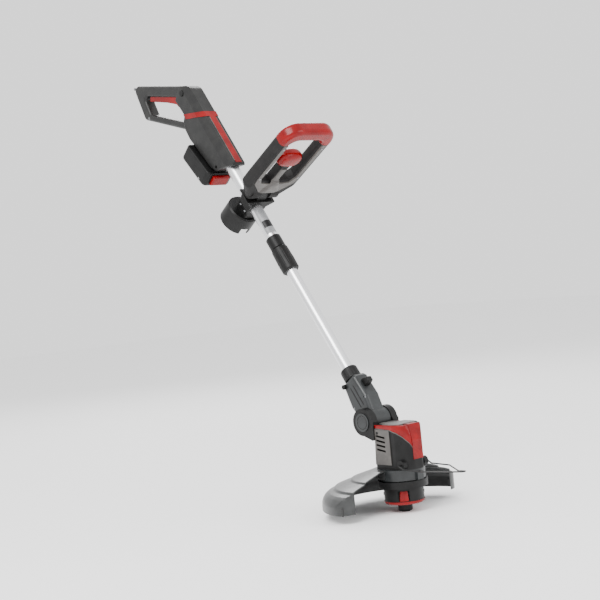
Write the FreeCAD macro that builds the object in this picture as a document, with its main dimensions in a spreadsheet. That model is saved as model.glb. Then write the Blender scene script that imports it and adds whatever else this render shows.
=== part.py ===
import FreeCAD, Part
import math
import os
import Sketcher

# A battery string trimmer: bump-feed head with guard and wire guard, tilting neck, telescoping
# tubes, front loop handle with spare spool holder, and a rear grip with trigger and battery.
# Millimetres.  Origin on the spool axis at the ground, +X forward, +Y to the operator's left, +Z up.

doc = FreeCAD.newDocument("string_trimmer")
sheet = doc.addObject("Spreadsheet::Sheet", "sizes")
pieces = []


class Size:
    """A number together with the spreadsheet formula that gives it."""

    def __init__(self, value, formula):
        self.value = float(value)
        self.formula = formula

    def __add__(self, other):
        other = as_size(other)
        return Size(self.value + other.value, "(%s + %s)" % (self.formula, other.formula))

    def __sub__(self, other):
        other = as_size(other)
        return Size(self.value - other.value, "(%s - %s)" % (self.formula, other.formula))

    def __mul__(self, other):
        other = as_size(other)
        return Size(self.value * other.value, "(%s * %s)" % (self.formula, other.formula))

    def __truediv__(self, other):
        other = as_size(other)
        return Size(self.value / other.value, "(%s / %s)" % (self.formula, other.formula))

    def __neg__(self):
        return Size(-self.value, "(0 - %s)" % self.formula)

    def __radd__(self, other):
        return as_size(other) + self

    def __rsub__(self, other):
        return as_size(other) - self

    def __rmul__(self, other):
        return as_size(other) * self


def as_size(thing):
    """A plain number as a Size; a Size stays as it is."""
    if isinstance(thing, Size):
        return thing
    return Size(thing, "(%r)" % float(thing))


def cosine(angle):
    """Cosine of an angle in degrees."""
    return Size(math.cos(math.radians(angle.value)), "cos(%s)" % angle.formula)


def sine(angle):
    """Sine of an angle in degrees."""
    return Size(math.sin(math.radians(angle.value)), "sin(%s)" % angle.formula)


def size(alias, number):
    """Write one driving size into the spreadsheet."""
    row = len(sheet_rows) + 1
    sheet_rows.append(alias)
    sheet.set("A%d" % row, alias.replace("_", " "))
    sheet.set("B%d" % row, str(number))
    sheet.setAlias("B%d" % row, alias)
    return Size(number, "sizes." + alias)


sheet_rows = []

# Shaft and pivot
shaft_angle = size("shaft_angle", 55)
pivot_back = size("pivot_back", 63.4)
pivot_height = size("pivot_height", 181.4)
tube_rise = size("tube_rise", 4.2)
upper_tube_radius = size("upper_tube_radius", 14)
lower_tube_radius = size("lower_tube_radius", 12)
tube_wall = size("tube_wall", 1.4)
slip = size("slip", 0.08)
gap = size("gap", 0.4)

# Places along the shaft, measured up from the pivot
neck_end = size("neck_end", 99)
collar_end = size("collar_end", 124.5)
lock_start = size("lock_start", 386)
lock_end = size("lock_end", 447)
lock_collar_end = size("lock_collar_end", 477)
lower_tube_end = size("lower_tube_end", 520)
loop_place = size("loop_place", 583)
rear_start = size("rear_start", 672)

# Widths and radii
lock_wall = size("lock_wall", 5.5)
lock_radius = upper_tube_radius + lock_wall
housing_half = size("housing_half", 22)
grip_half = size("grip_half", 15)
shell_wall = size("shell_wall", 3)
battery_half = size("battery_half", 38)
battery_height = size("battery_height", 40)
battery_length = size("battery_length", 105)
battery_tilt = size("battery_tilt", 8)
cell_radius = size("cell_radius", 9)
cell_length = size("cell_length", 65)
holder_radius = size("holder_radius", 37.5)
holder_depth = size("holder_depth", 45)
loop_half = size("loop_half", 69)
loop_opening = size("loop_opening", 45)
loop_height = size("loop_height", 271)
loop_thick = size("loop_thick", 30)
loop_lean = size("loop_lean", 5)
hinge_height = size("hinge_height", 49)
hinge_pin_radius = size("hinge_pin_radius", 3.5)
hub_radius = size("hub_radius", 26)
neck_half = size("neck_half", 19.7)
ear_radius = size("ear_radius", 27.7)
ear_outer = size("ear_outer", 36.5)
pin_radius = size("pin_radius", 5)

# Head
head_half = size("head_half", 32)
head_bottom = size("head_bottom", 88)
head_top = size("head_top", 176)
head_rear = size("head_rear", 44)
head_front = size("head_front", 50)
motor_radius = size("motor_radius", 22)
motor_length = size("motor_length", 60)
shaft_radius = size("shaft_radius", 3)
flange_radius = size("flange_radius", 47)
flange_bottom = size("flange_bottom", 66.5)
guard_radius = size("guard_radius", 166)
guard_sheet = size("guard_sheet", 2.5)
disc_radius = size("disc_radius", 50)
disc_bottom = size("disc_bottom", 51)
disc_top = size("disc_top", 65)
spool_radius = size("spool_radius", 40)
spool_bottom = size("spool_bottom", 18)
knob_radius = size("knob_radius", 14.5)
core_radius = size("core_radius", 10)
wire_radius = size("wire_radius", 1.5)
wire_hinge_x = size("wire_hinge_x", 33)
wire_hinge_z = size("wire_hinge_z", 98)
wire_half = size("wire_half", 40)
doc.recompute()

UPRIGHT = FreeCAD.Placement()
SIDEWAYS = FreeCAD.Vector(0, 1, 0)


def placed(x, y, z, turn=0.0, axis=SIDEWAYS):
    """A placement from plain numbers."""
    return FreeCAD.Placement(FreeCAD.Vector(x, y, z), FreeCAD.Rotation(axis, turn))


# Shaft frame: its X runs down the tube, its Z stands square to the tube, above it.
lean = math.radians(shaft_angle.value)
SHAFT = placed(
    -pivot_back.value + tube_rise.value * math.sin(lean),
    0,
    pivot_height.value + tube_rise.value * math.cos(lean),
    shaft_angle.value,
)
# Battery frame: its X runs forward along the underside of the rear housing.
battery_s = rear_start + 147
battery_z = as_size(-54)
BATTERY = SHAFT * placed(-battery_s.value, 0, battery_z.value, -battery_tilt.value)
# Loop frame: its Z runs up the loop, its X faces the head.
LOOP = SHAFT * placed(-loop_place.value, 0, -tube_rise.value, loop_lean.value)
# Guard frame: turned so that the half circle lies behind the head.
GUARD = placed(0, 0, 0, 90, FreeCAD.Vector(0, 0, 1))
# Spool frame: the two release tabs stand at 45 degrees to the front.
SPOOL = placed(0, 0, 0, 45, FreeCAD.Vector(0, 0, 1))


def piece(label, place):
    """Start a new body."""
    body = doc.addObject("PartDesign::Body", label)
    body.Label = label
    body.Placement = place
    pieces.append(body)
    return body


def bind(item, field, amount):
    """Tie one property to the spreadsheet."""
    item.setExpression(field, as_size(amount).formula)


def sketch_on(body, role, height):
    """A sketch on an origin plane of the body, moved along the plane's normal."""
    height = as_size(height)
    plane = next(part for part in body.Origin.OriginFeatures if part.Role == role)
    item = body.newObject("Sketcher::SketchObject", body.Label + "_outline")
    item.AttachmentSupport = [(plane, "")]
    item.MapMode = "FlatFace"
    item.AttachmentOffset = FreeCAD.Placement(FreeCAD.Vector(0, 0, height.value), FreeCAD.Rotation())
    bind(item, "AttachmentOffset.Base.z", height)
    return item


def hold(item, kind, *numbers_and_size):
    """Add one dimension to a sketch and tie it to the spreadsheet."""
    amount = as_size(numbers_and_size[-1])
    index = item.addConstraint(Sketcher.Constraint(kind, *numbers_and_size[:-1], amount.value))
    item.setExpression("Constraints[%d]" % index, amount.formula)


def draw_circle(item, across, up, radius):
    """A circle, held by its centre and radius."""
    across = as_size(across)
    up = as_size(up)
    radius = as_size(radius)
    centre = FreeCAD.Vector(across.value, up.value, 0)
    index = item.addGeometry(Part.Circle(centre, FreeCAD.Vector(0, 0, 1), radius.value), False)
    hold(item, "Radius", index, radius)
    hold(item, "DistanceX", -1, 1, index, 3, across)
    hold(item, "DistanceY", -1, 1, index, 3, up)


def draw_outline(item, corners):
    """A closed outline.  A corner with a third number is reached by an arc of that radius,
    turning left when it is positive and right when it is negative."""
    ends = []
    count = len(corners)
    points = [(as_size(c[0]), as_size(c[1])) for c in corners]
    flat = [FreeCAD.Vector(p[0].value, p[1].value, 0) for p in points]
    first = item.GeometryCount
    for i in range(count):
        target = (i + 1) % count
        a = flat[i]
        b = flat[target]
        if len(corners[target]) == 2:
            item.addGeometry(Part.LineSegment(a, b), False)
            ends.append((1, 2))
            continue
        radius = as_size(corners[target][2])
        reach = abs(radius.value)
        side = 1 if radius.value > 0 else -1
        chord = b.sub(a)
        rise = math.sqrt(max(reach * reach - chord.Length * chord.Length / 4.0, 0.0))
        across = FreeCAD.Vector(-chord.y, chord.x, 0).normalize()
        centre = (a + b) * 0.5 + across * (rise * side)
        start, stop = (a, b) if side > 0 else (b, a)
        begin = math.atan2(start.y - centre.y, start.x - centre.x)
        finish = math.atan2(stop.y - centre.y, stop.x - centre.x)
        if finish < begin:
            finish += 2 * math.pi
        ring = Part.Circle(centre, FreeCAD.Vector(0, 0, 1), reach)
        index = item.addGeometry(Part.ArcOfCircle(ring, begin, finish), False)
        hold(item, "Radius", index, radius if side > 0 else -radius)
        ends.append((1, 2) if side > 0 else (2, 1))
    for i in range(count):
        after = (i + 1) % count
        item.addConstraint(
            Sketcher.Constraint("Coincident", first + i, ends[i][1], first + after, ends[after][0])
        )
        hold(item, "DistanceX", -1, 1, first + i, ends[i][0], points[i][0])
        hold(item, "DistanceY", -1, 1, first + i, ends[i][0], points[i][1])


def draw(item, shapes):
    """Draw circles ("circle", across, up, radius) and closed outlines (lists of corners)."""
    for shape in shapes:
        if shape[0] == "circle":
            draw_circle(item, *shape[1:])
        else:
            draw_outline(item, shape)


def check(item):
    """Recompute and stop with the object's name if it failed."""
    doc.recompute()
    if "Invalid" in item.State or "Error" in item.State or item.Shape.isNull():
        raise RuntimeError("%s failed in %s" % (item.Name, item.getParentGeoFeatureGroup().Label))


def slab(body, role, shapes, low, high, cut=False):
    """Add or cut a straight block between two heights on the axis square to the plane."""
    low = as_size(low)
    high = as_size(high)
    start = -high if role == "XZ_Plane" else low
    item = sketch_on(body, role, start)
    draw(item, shapes)
    kind = "PartDesign::Pocket" if cut else "PartDesign::Pad"
    feature = body.newObject(kind, body.Label + ("_cut" if cut else "_block"))
    feature.Profile = item
    bind(feature, "Length", high - low)
    feature.Reversed = cut
    check(feature)


def turned(body, outline, angle=360, cut=False, line="V_Axis"):
    """Add or cut a turned shape from an outline in the XZ plane, about Z or about X."""
    item = sketch_on(body, "XZ_Plane", 0)
    draw(item, [outline])
    kind = "PartDesign::Groove" if cut else "PartDesign::Revolution"
    feature = body.newObject(kind, body.Label + ("_groove" if cut else "_turned"))
    feature.Profile = item
    feature.ReferenceAxis = (item, [line])
    feature.Angle = angle
    check(feature)


def rounded(body, radius, chosen):
    """Round every edge of the body that the chosen() test picks."""
    tip = body.Tip
    names = []
    for number, edge in enumerate(tip.Shape.Edges, 1):
        if chosen(edge):
            names.append("Edge%d" % number)
    if not names:
        raise RuntimeError("no edges to round on " + body.Label)
    feature = body.newObject("PartDesign::Fillet", body.Label + "_round")
    feature.Base = (tip, names)
    bind(feature, "Radius", radius)
    check(feature)


def along(axis):
    """Test for straight edges along one axis (0, 1 or 2)."""

    def chosen(edge):
        line = edge.lastVertex().Point.sub(edge.firstVertex().Point)
        parts = [abs(line.x), abs(line.y), abs(line.z)]
        return line.Length > 0.5 and parts[axis] > 0.999 * line.Length
    return chosen


def level(axis, height):
    """Test for edges that lie wholly at one height of an axis."""
    value = as_size(height).value

    def chosen(edge):
        box = edge.BoundBox
        lows = (box.XMin, box.YMin, box.ZMin)
        highs = (box.XMax, box.YMax, box.ZMax)
        return abs(lows[axis] - value) < 0.02 and abs(highs[axis] - value) < 0.02
    return chosen


def near(edge, across, up, reach=3.0):
    """True when the middle of an edge is close to a point (x, z)."""
    box = edge.BoundBox.Center
    return math.hypot(box.x - as_size(across).value, box.z - as_size(up).value) < reach


def mirrored(side, low, high):
    """A range of Y on the left (side 1) or on the right (side -1)."""
    if side > 0:
        return as_size(low), as_size(high)
    return -as_size(high), -as_size(low)


def box(low_x, low_y, high_x, high_y):
    """A rectangle outline."""
    return [(low_x, low_y), (high_x, low_y), (high_x, high_y), (low_x, high_y)]


def shaft_outline(corners):
    """Corners given as (distance up the shaft, height) in the shaft frame."""
    return [(-as_size(c[0]),) + tuple(c[1:]) for c in corners]


# ---------------------------------------------------------------- tubes
def ring_piece(label, inner, outer, start, end):
    """A plain ring on the shaft between two places up the shaft."""
    body = piece(label, SHAFT)
    slab(body, "YZ_Plane", [("circle", 0, 0, outer), ("circle", 0, 0, inner)], -as_size(end), -as_size(start))
    return body


upper_start = lock_start + 16
upper_end = rear_start + 88
upper_tube = ring_piece("upper_tube", upper_tube_radius - tube_wall, upper_tube_radius, upper_start, upper_end)
lower_start = neck_end - 23
lower_tube_bore = lower_tube_radius - 1.2
lower_tube = ring_piece("lower_tube", lower_tube_bore, lower_tube_radius, lower_start, lower_tube_end)

# Collet that grips the lower tube, held at the end of the upper tube
collet = ring_piece("lock_collet", lower_tube_radius + slip, upper_tube_radius, lock_start + 7, upper_start)
slab(collet, "XZ_Plane", [box(-(upper_start + 1), -0.6, -(lock_start + 9), 0.6)], -20, 20, cut=True)

# Bushing at the inner end of the lower tube
bushing = ring_piece(
    "tube_bushing",
    lower_tube_radius,
    upper_tube_radius - tube_wall - slip,
    lower_tube_end - 14,
    lower_tube_end,
)

# Twist sleeve with grip flutes
sleeve = piece("lock_sleeve", SHAFT)
turned(
    sleeve,
    shaft_outline([
        (lock_start, lower_tube_radius + gap),
        (lock_start, lock_radius - 3),
        (lock_start + 3, lock_radius - 0.4),
        (lock_start + 26, lock_radius),
        (lock_end - 3, lock_radius - 1),
        (lock_end, lock_radius - 3),
        (lock_end, upper_tube_radius + gap),
        (lock_start + 6, upper_tube_radius + gap),
        (lock_start + 6, lower_tube_radius + gap),
    ]),
    line="H_Axis",
)
flutes = []
for number in range(12):
    turn = math.radians(30 * number)
    flutes.append((
        "circle",
        (lock_radius + 1.2) * math.sin(turn),
        (lock_radius + 1.2) * math.cos(turn),
        2.2,
    ))
slab(sleeve, "YZ_Plane", flutes, -(lock_end - 8), -(lock_start + 12), cut=True)

lock_collar = ring_piece("lock_collar", upper_tube_radius, lock_radius - 2.5, lock_end + gap, lock_collar_end)
rounded(lock_collar, 1.2, level(0, -lock_collar_end))

# Swivel collar between the lower tube and the neck
collar = piece("swivel_collar", SHAFT)
spigot = lower_tube_radius + 2.5
turned(
    collar,
    shaft_outline([
        (lower_start, lower_tube_radius),
        (lower_start, spigot),
        (neck_end - 19, spigot),
        (neck_end - 19, spigot + 2),
        (neck_end - 15, spigot + 2),
        (neck_end - 15, spigot),
        (neck_end + gap, spigot),
        (neck_end + gap, lower_tube_radius + 6.2),
        (neck_end + 2, lower_tube_radius + 7),
        (collar_end - 3, lower_tube_radius + 6.4),
        (collar_end, lower_tube_radius + 4.5),
        (collar_end, lower_tube_radius),
    ]),
    line="H_Axis",
)
ribs = []
for number in range(16):
    turn = math.radians(22.5 * number)
    ribs.append((
        "circle",
        (lower_tube_radius + 8.2) * math.sin(turn),
        (lower_tube_radius + 8.2) * math.cos(turn),
        1.9,
    ))
slab(collar, "YZ_Plane", ribs, -(collar_end - 4), -(neck_end + 4), cut=True)

# ---------------------------------------------------------------- rear housing
opening = [
    (rear_start + 353, -126.5),
    (rear_start + 263, -35),
    (rear_start + 201, -31),
    (rear_start + 192, -45),
    (rear_start + 302, -135),
]
loop_body = [
    (rear_start + 160, -40),
    (rear_start + 174, -52),
    (rear_start + 310, -162),
    (rear_start + 406, -144),
    (rear_start + 247, 19),
    (rear_start + 233, 26),
    (rear_start + 160, 26),
]
main_body = [
    (rear_start + 31, -33),
    (rear_start + 48, -40),
    (rear_start + 147, -54),
    (rear_start + 174, -52),
    (rear_start + 192, -45),
    (rear_start + 201, -31),
    (rear_start + 250, -34),
    (rear_start + 264, 1),
    (rear_start + 247, 19),
    (rear_start + 233, 26),
    (rear_start + 4, 26),
    (rear_start, 22),
]
trigger_pivot = (rear_start + 246, -22.0)
lock_off_place = (rear_start + 243, -2.0)


def under(forward, up):
    """A corner given in the battery frame, as (distance up the shaft, height)."""
    forward = as_size(forward)
    up = as_size(up)
    return (
        battery_s - forward * cosine(battery_tilt) + up * sine(battery_tilt),
        battery_z + forward * sine(battery_tilt) + up * cosine(battery_tilt),
    )


def rear_half(label, side):
    """One half of the rear housing, with its cavities and the battery channel."""
    body = piece(label, SHAFT)
    low, high = mirrored(side, 0, grip_half)
    slab(body, "XZ_Plane", [shaft_outline(loop_body), shaft_outline(opening)], low, high)
    corners = {
        (406, -144): 13,
        (310, -162): 14,
        (353, -126.5): 9,
        (302, -135): 8,
    }
    straight = along(1)
    for place, radius in corners.items():
        spot = -(rear_start + place[0])
        rounded(body, radius, lambda e: straight(e) and near(e, spot, place[1], 1.0))
    rounded(body, 7, level(1, grip_half * side))
    low, high = mirrored(side, 0, housing_half)
    slab(body, "XZ_Plane", [shaft_outline(main_body)], low, high)
    shoulder = -(rear_start + 233)
    rounded(body, 22, lambda e: straight(e) and near(e, shoulder, 26, 1.0))
    bevel = [
        (housing_half * side, 4),
        ((housing_half + 4) * side, 4),
        ((housing_half + 4) * side, 30),
        ((housing_half - 7.1) * side, 30),
    ]
    slab(body, "YZ_Plane", [bevel], -(rear_start + 268), -(rear_start - 8), cut=True)
    rounded(body, 4, level(1, housing_half * side))
    # cavities
    hollow = [
        (rear_start + 50, -27),
        (rear_start + 150, -41),
        (rear_start + 184, -44),
        (rear_start + 197, -27.5),
        (rear_start + 254, -28),
        (rear_start + 257, 0),
        (rear_start + 243, 15),
        (rear_start + 231, 22.5),
        (rear_start + 50, 22.5),
    ]
    low, high = mirrored(side, 0, housing_half - 9)
    slab(body, "XZ_Plane", [shaft_outline(hollow)], low, high, cut=True)
    deep = [
        (rear_start + 50, -27),
        (rear_start + 150, -41),
        (rear_start + 184, -44),
        (rear_start + 197, -27.5),
        (rear_start + 228, -28),
        (rear_start + 228, 3),
        (rear_start + 50, 3),
    ]
    low, high = mirrored(side, housing_half - 9, housing_half - shell_wall)
    slab(body, "XZ_Plane", [shaft_outline(deep)], low, high, cut=True)
    grip_hollow = [
        (rear_start + 251, 9.5),
        (rear_start + 387, -130),
        (rear_start + 366, -136),
        (rear_start + 355.5, -124),
        (rear_start + 265.5, -32.5),
        (rear_start + 250, -28),
    ]
    low_hollow = [
        (rear_start + 193.5, -51.7),
        (rear_start + 298.5, -136.6),
        (rear_start + 292.9, -143.6),
        (rear_start + 187.9, -58.7),
    ]
    rear_hollow = [
        (rear_start + 312, -152),
        (rear_start + 386, -138.5),
        (rear_start + 360, -131),
        (rear_start + 309, -140),
    ]
    low, high = mirrored(side, 0, grip_half - 3.5)
    slab(body, "XZ_Plane", [shaft_outline(grip_hollow)], low, high, cut=True)
    slab(body, "XZ_Plane", [shaft_outline(low_hollow)], low, high, cut=True)
    slab(body, "XZ_Plane", [shaft_outline(rear_hollow)], low, high, cut=True)
    # slot for the trigger under the grip
    slot = [
        (rear_start + 233, -40),
        (rear_start + 233, -24),
        (rear_start + 262, -24),
        (rear_start + 348, -112),
        (rear_start + 341, -121),
        (rear_start + 258, -46),
    ]
    low, high = mirrored(side, 0, 9.6)
    slab(body, "XZ_Plane", [shaft_outline(slot)], low, high, cut=True)
    # channel for the battery rail: narrow lips, wide above them
    low, high = mirrored(side, 0, 10.4)
    lips = [under(2.9, -8), under(140, -8), under(140, 3), under(2.9, 3)]
    slab(body, "XZ_Plane", [shaft_outline(lips)], low, high, cut=True)
    low, high = mirrored(side, 0, 14)
    wide = [under(2.9, 2.8), under(140, 2.8), under(140, 6.6), under(2.9, 6.6)]
    slab(body, "XZ_Plane", [shaft_outline(wide)], low, high, cut=True)
    # socket for the tube, hole for the lock-off button, holes for the trigger pin and screws
    turned(
        body,
        shaft_outline([
            (rear_start - 10, 0),
            (rear_start - 10, upper_tube_radius),
            (upper_end, upper_tube_radius),
            (upper_end, 0),
        ]),
        cut=True,
        line="H_Axis",
    )
    low, high = mirrored(side, 0, housing_half + 1)
    button = ("circle", -lock_off_place[0], lock_off_place[1], 7.3)
    slab(body, "XZ_Plane", [button], low, high, cut=True)
    low, high = mirrored(side, 0, 12)
    pin = ("circle", -trigger_pivot[0], trigger_pivot[1], 2)
    slab(body, "XZ_Plane", [pin], low, high, cut=True)
    return body


rear_left = rear_half("rear_housing_left", 1)
rear_right = rear_half("rear_housing_right", -1)

# Coloured band round the housing, running forward along the top
trim = piece("housing_trim", SHAFT)
band_in = [
    (housing_half, -30),
    (housing_half, 4),
    (housing_half - 6, 26),
    (6 - housing_half, 26),
    (-housing_half, 4),
    (-housing_half, -30),
]
band_out = [
    (-housing_half - 1.2, -30),
    (-housing_half - 1.2, 4.4),
    (5 - housing_half, 27.2),
    (housing_half - 5, 27.2),
    (housing_half + 1.2, 4.4),
    (housing_half + 1.2, -30),
]
slab(trim, "YZ_Plane", [band_in + band_out], -(rear_start + 225), -(rear_start + 125), cut=False)
front_part = [(rear_start + 189, -31), (rear_start + 140, 33), (rear_start + 100, 33), (rear_start + 100, -31)]
rear_part = [(rear_start + 204, -31), (rear_start + 240, -31), (rear_start + 240, 33), (rear_start + 155, 33)]
slab(trim, "XZ_Plane", [shaft_outline(front_part), shaft_outline(rear_part)], -60, 60, cut=True)
slab(trim, "XY_Plane", [box(-(rear_start + 150), -8, -(rear_start + 5), 8)], 26, 27.2)

trigger = piece("trigger", SHAFT)
trigger_outline = [
    (rear_start + 343.5, -108.5),
    (rear_start + 259, -9 - 6),
    (rear_start + 239, -15),
    (rear_start + 237, -30),
    (rear_start + 242, -46),
    (rear_start + 253, -48.5),
    (rear_start + 282, -73),
    (rear_start + 331.5, -121),
    (rear_start + 338, -115.5),
]
slab(trigger, "XZ_Plane", [shaft_outline(trigger_outline)], -9, 9)
rounded(trigger, 2.5, lambda e: abs(abs(e.BoundBox.Center.y) - 9) < 0.05 and e.BoundBox.Center.z < -16)
slab(trigger, "XZ_Plane", [("circle", -trigger_pivot[0], trigger_pivot[1], 2.08)], -10, 10, cut=True)

trigger_pin = piece("trigger_pin", SHAFT)
slab(trigger_pin, "XZ_Plane", [("circle", -trigger_pivot[0], trigger_pivot[1], 2)], -12, 12)

lock_off = piece("lock_off_button", SHAFT)
lock_disc = ("circle", -lock_off_place[0], lock_off_place[1], 7)
slab(lock_off, "XZ_Plane", [lock_disc], -(housing_half + 2), housing_half - 1)
rounded(lock_off, 1, level(1, -(housing_half + 2)))

switch = piece("switch", SHAFT)
slab(switch, "XZ_Plane", [shaft_outline(box(rear_start + 192, -20, rear_start + 226, -6))], -8, 8)
slab(switch, "XZ_Plane", [shaft_outline(box(rear_start + 226, -19, rear_start + 230, -13))], -3, 3)

terminals = piece("terminal_block", BATTERY)
slab(terminals, "XY_Plane", [box(3, -9, 11.5, 9)], -2.4, 6)
blades = [box(11.5, y - 0.4, 22, y + 0.4) for y in (-6, 0, 6)]
slab(terminals, "XY_Plane", blades, 3.2, 5.6)

housing_screws = piece("housing_screws", SHAFT)
screw_places = [(rear_start + 392, -141), (rear_start + 300, -146), (rear_start + 34, -22)]
for place in screw_places:
    head = ("circle", -place[0], place[1], 3.6)
    slab(housing_screws, "XZ_Plane", [head], -(grip_half), -(grip_half - 2.4))
    slab(housing_screws, "XZ_Plane", [("circle", -place[0], place[1], 1.8)], -(grip_half - 2.4), 9)
for place in screw_places:
    deep_head = [("circle", -place[0], place[1], 3.6)]
    slab(rear_right, "XZ_Plane", deep_head, -(housing_half + 2), -(grip_half - 2.4), cut=True)
    slab(rear_right, "XZ_Plane", [("circle", -place[0], place[1], 1.8)], -grip_half, 0, cut=True)
    slab(rear_left, "XZ_Plane", [("circle", -place[0], place[1], 1.8)], 0, 9, cut=True)

# ---------------------------------------------------------------- battery
battery_rear = as_size(15)
battery_front = battery_rear + battery_length
split = -(battery_height / 2)
plan = box(battery_rear, -battery_half, battery_front, battery_half)
pocket = box(battery_rear + 2.5, -(battery_half - 2.5), battery_front - 8, battery_half - 2.5)
latch_seat = box(battery_front - 6.5, -22.4, battery_front + 1, 22.4)
upper_case = piece("battery_case_upper", BATTERY)
slab(upper_case, "XY_Plane", [plan], split, -0.6)
rounded(upper_case, 11, along(2))
rounded(upper_case, 4, level(2, -0.6))
slab(upper_case, "XY_Plane", [pocket], split, -3.2, cut=True)
slab(upper_case, "XY_Plane", [latch_seat], split, -6.6, cut=True)
slab(upper_case, "XY_Plane", [box(battery_rear, -10, battery_front - 6, 10)], -0.7, 3.2)
slab(upper_case, "XY_Plane", [box(battery_rear, -13.6, battery_front - 6, 13.6)], 3.1, 6.2)
slots = [box(battery_rear - 1, y - 1, battery_rear + 9, y + 1) for y in (-6, 0, 6)]
slab(upper_case, "XY_Plane", slots, 2.8, 7, cut=True)

lower_case = piece("battery_case_lower", BATTERY)
slab(lower_case, "XY_Plane", [plan], -battery_height, split)
rounded(lower_case, 11, along(2))
rounded(lower_case, 8, level(2, -battery_height))
slab(lower_case, "XY_Plane", [pocket], 3 - battery_height, split, cut=True)
slab(lower_case, "XY_Plane", [latch_seat], -31.4, split, cut=True)

cells = piece("battery_cells", BATTERY)
pitch = cell_radius * 2 + 0.4
circles = [("circle", battery_rear + 13.5 + pitch * number, split - 1, cell_radius) for number in range(5)]
slab(cells, "XZ_Plane", circles, -(cell_length / 2), cell_length / 2)

latch = piece("battery_latch", BATTERY)
slab(latch, "XY_Plane", [box(battery_front - 2.8, -22, battery_front + 8, 22)], -31, -7)
rounded(latch, 3.5, level(0, battery_front + 8))

# ---------------------------------------------------------------- clamp, holder and loop handle
clamp_start = loop_place - 23
clamp_end = loop_place + 17
clamp_outer = upper_tube_radius + 8
upper_clamp = piece("clamp_upper", SHAFT)
wedge = [
    (-clamp_outer, 0),
    (clamp_outer, 0),
    (clamp_outer, 8),
    (38, 22),
    (38, hinge_height - tube_rise - 20),
    (-38, hinge_height - tube_rise - 20),
    (-38, 22),
    (-clamp_outer, 8),
]
slab(upper_clamp, "YZ_Plane", [wedge], -clamp_end, -clamp_start)
hinge_s = loop_place - hinge_height * sine(loop_lean)
hinge_z = hinge_height * cosine(loop_lean) - tube_rise
slab(upper_clamp, "XZ_Plane", [("circle", -hinge_s, hinge_z, 14)], -12, 12)
slab(upper_clamp, "XZ_Plane", [box(-hinge_s - 14, 15, -hinge_s + 14, hinge_z)], -12, 12)
slab(upper_clamp, "XZ_Plane", [("circle", -hinge_s, hinge_z, hinge_pin_radius)], -13, 13, cut=True)
slab(upper_clamp, "YZ_Plane", [("circle", 0, 0, upper_tube_radius)], -clamp_end - 1, 1 - clamp_start, cut=True)

lower_clamp = piece("clamp_lower", SHAFT)
block = [
    (-clamp_outer, -0.2),
    (clamp_outer, -0.2),
    (clamp_outer, -8),
    (16, -22),
    (16, -31),
    (-16, -31),
    (-16, -22),
    (-clamp_outer, -8),
]
slab(lower_clamp, "YZ_Plane", [block], -clamp_end, -clamp_start)
rounded(lower_clamp, 3, level(0, -clamp_end))
rounded(lower_clamp, 3, level(0, -clamp_start))
slab(lower_clamp, "YZ_Plane", [("circle", 0, 0, upper_tube_radius)], -clamp_end - 1, 1 - clamp_start, cut=True)

clamp_bolts = piece("clamp_bolts", SHAFT)
bolt_side = upper_tube_radius + 4
bolt_spots = [(-place, side) for place in (clamp_start + 10, clamp_end - 10) for side in (bolt_side, -bolt_side)]
shanks = [("circle", x, y, 1.9) for x, y in bolt_spots]
heads = [("circle", x, y, 3.4) for x, y in bolt_spots]
slab(clamp_bolts, "XY_Plane", shanks, -12, 12)
slab(clamp_bolts, "XY_Plane", heads, -15, -12)
slab(upper_clamp, "XY_Plane", shanks, -1, 12, cut=True)
slab(lower_clamp, "XY_Plane", shanks, -13, 1, cut=True)
slab(lower_clamp, "XY_Plane", heads, -30, -12, cut=True)

holder = piece("spare_spool_holder", SHAFT * placed(-(loop_place + 7).value, 0, 0))
rim = -(31 + holder_depth)
turned(holder, [
    (0, -31),
    (holder_radius - 3, -31),
    (holder_radius, -34),
    (holder_radius, rim),
    (holder_radius - 2.5, rim),
    (holder_radius - 2.5, -34),
    (0, -34),
])
slab(holder, "XY_Plane", [box(20, -11, holder_radius + 5, 11)], rim - 1, rim + 16, cut=True)
slab(holder, "XY_Plane", [box(-(holder_radius + 5), -11, -20, 11)], rim - 1, rim + 16, cut=True)

loop_outer = [
    (-30, 36),
    (30, 36),
    (42, 40),
    (loop_half - 1, 78),
    (loop_half, 100),
    (loop_half, loop_height - 38),
    (loop_half - 38, loop_height, 38),
    (38 - loop_half, loop_height),
    (-loop_half, loop_height - 38, 38),
    (-loop_half, 100),
    (1 - loop_half, 78),
    (-42, 40),
]
loop_inner = [
    (-loop_opening + 8, 98),
    (-14, 94),
    (14, 94),
    (loop_opening - 8, 98),
    (loop_opening, 112),
    (loop_opening, loop_height - 55),
    (loop_opening - 22, loop_height - 33, 22),
    (22 - loop_opening, loop_height - 33),
    (-loop_opening, loop_height - 55, 22),
    (-loop_opening, 112),
]
cover_start = loop_height - 45
half_thick = loop_thick / 2
frame = piece("handle_frame", LOOP)
slab(frame, "YZ_Plane", [loop_outer, loop_inner], -half_thick, half_thick)
rounded(frame, 10, level(0, half_thick))
rounded(frame, 10, level(0, -half_thick))
slab(frame, "YZ_Plane", [box(-90, cover_start, 90, loop_height + 5)], -30, 30, cut=True)
slab(frame, "YZ_Plane", [box(-11, 80, 11, 149)], -11, 11)
rounded(frame, 3, lambda e: along(2)(e) and e.BoundBox.ZMin > 90 and abs(abs(e.BoundBox.Center.y) - 11) < 0.1)
slab(frame, "XZ_Plane", [("circle", 0, hinge_height, 18.5)], 12.6, 36)
slab(frame, "XZ_Plane", [("circle", 0, hinge_height, 18.5)], -36, -12.6)
slab(frame, "XZ_Plane", [box(-40, 20, 40, hinge_height + 19.5)], -12.6, 12.6, cut=True)
slab(frame, "XZ_Plane", [("circle", 0, hinge_height, hinge_pin_radius + slip)], -60, 60, cut=True)
slab(frame, "XY_Plane", [box(-4.4, -4.4, 4.4, 4.4)], 122, 150, cut=True)
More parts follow.
